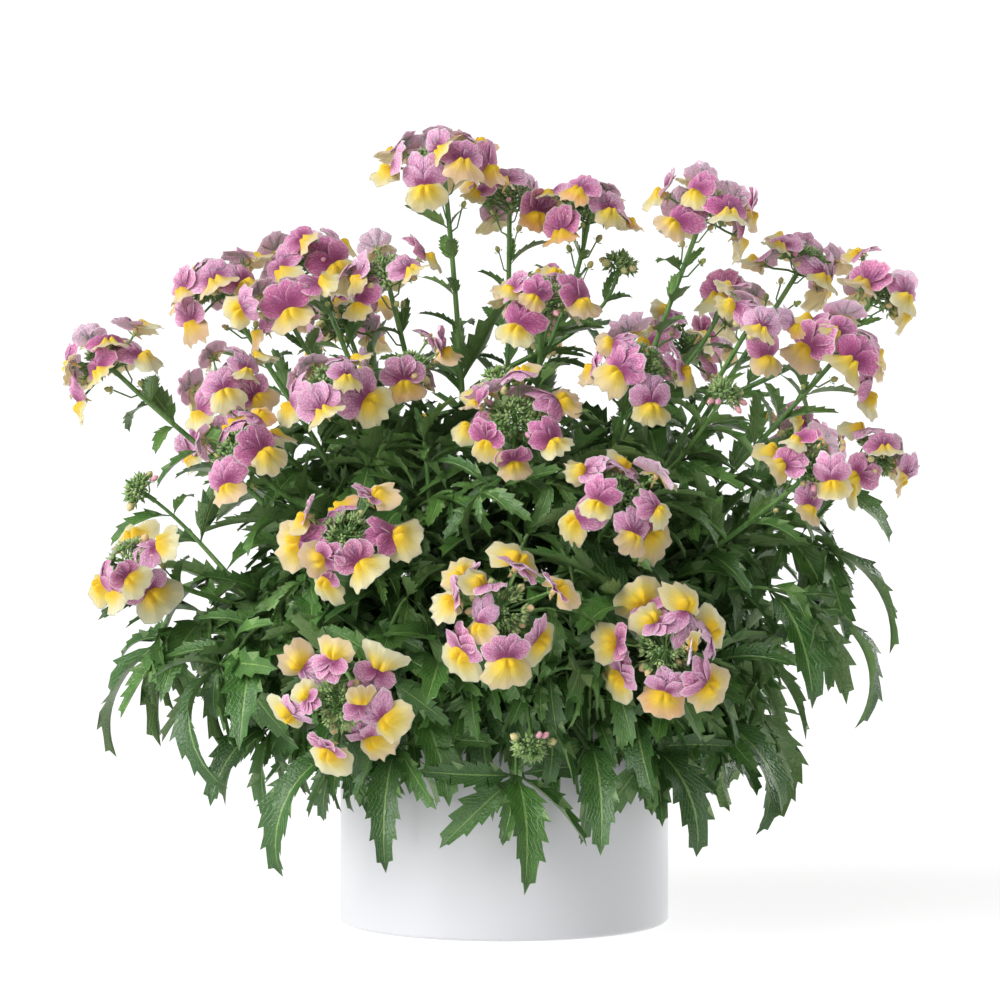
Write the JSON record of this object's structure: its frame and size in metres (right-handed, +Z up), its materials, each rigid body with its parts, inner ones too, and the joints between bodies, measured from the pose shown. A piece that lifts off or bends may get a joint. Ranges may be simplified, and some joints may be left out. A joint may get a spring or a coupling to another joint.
{
  "type": "potted nemesia",
  "caption": "Bushy nemesia in full bloom, with pink and yellow two-lipped flowers, in a plain white cylindrical pot",
  "frame": {"origin": "centre of the pot's flat underside", "axes": "+Z up along the pot's axis, +X to the right and -Y towards the viewer of the front"},
  "size_m": [0.3144, 0.2601, 0.291],
  "materials": {
    "pot": "white glaze, glossy, plain",
    "soil": "dark peat potting mix, matte and crumbly",
    "foliage": "fresh green stems and toothed leaves, satin, with paler ribs",
    "petals": "matte petals, mauve pink upper lips with darker veins and yellow lower lips with orange throats, and green buds"
  },
  "bodies": {
    "root": {"pot": "pot", "soil": "soil", "leafy_stem_01": "foliage", "leafy_stem_02": "foliage", "leafy_stem_03": "foliage", "leafy_stem_04": "foliage", "leafy_stem_05": "foliage", "leafy_stem_06": "foliage", "leafy_stem_07": "foliage", "leafy_stem_08": "foliage", "leafy_stem_09": "foliage", "leafy_stem_10": "foliage", "leafy_stem_11": "foliage", "leafy_stem_12": "foliage", "leafy_stem_13": "foliage", "leafy_stem_14": "foliage", "leafy_stem_15": "foliage", "leafy_stem_16": "foliage", "leafy_stem_17": "foliage", "leafy_stem_18": "foliage", "leafy_stem_19": "foliage", "leafy_stem_20": "foliage", "leafy_stem_21": "foliage", "flower_head_01": "petals", "flower_head_02": "petals", "flower_head_03": "petals", "flower_head_04": "petals", "flower_head_05": "petals", "flower_head_06": "petals", "flower_head_07": "petals", "flower_head_08": "petals", "flower_head_09": "petals", "flower_head_10": "petals", "flower_head_11": "petals", "flower_head_12": "petals", "flower_head_13": "petals", "flower_head_14": "petals", "flower_head_15": "petals", "flower_head_16": "petals", "flower_head_17": "petals", "flower_head_18": "petals", "flower_head_19": "petals", "flower_head_20": "petals", "flower_head_21": "petals", "flower_head_22": "petals", "flower_head_23": "petals", "flower_head_24": "petals", "flower_head_25": "petals", "flower_head_26": "petals", "flower_head_27": "petals", "flower_head_28": "petals", "flower_head_29": "petals", "flower_head_30": "petals", "flower_head_31": "petals", "flower_head_32": "petals", "flower_head_33": "petals", "flower_head_34": "petals", "flower_head_35": "petals", "flower_head_36": "petals", "flower_head_37": "petals"}
  },
  "joints": []
}
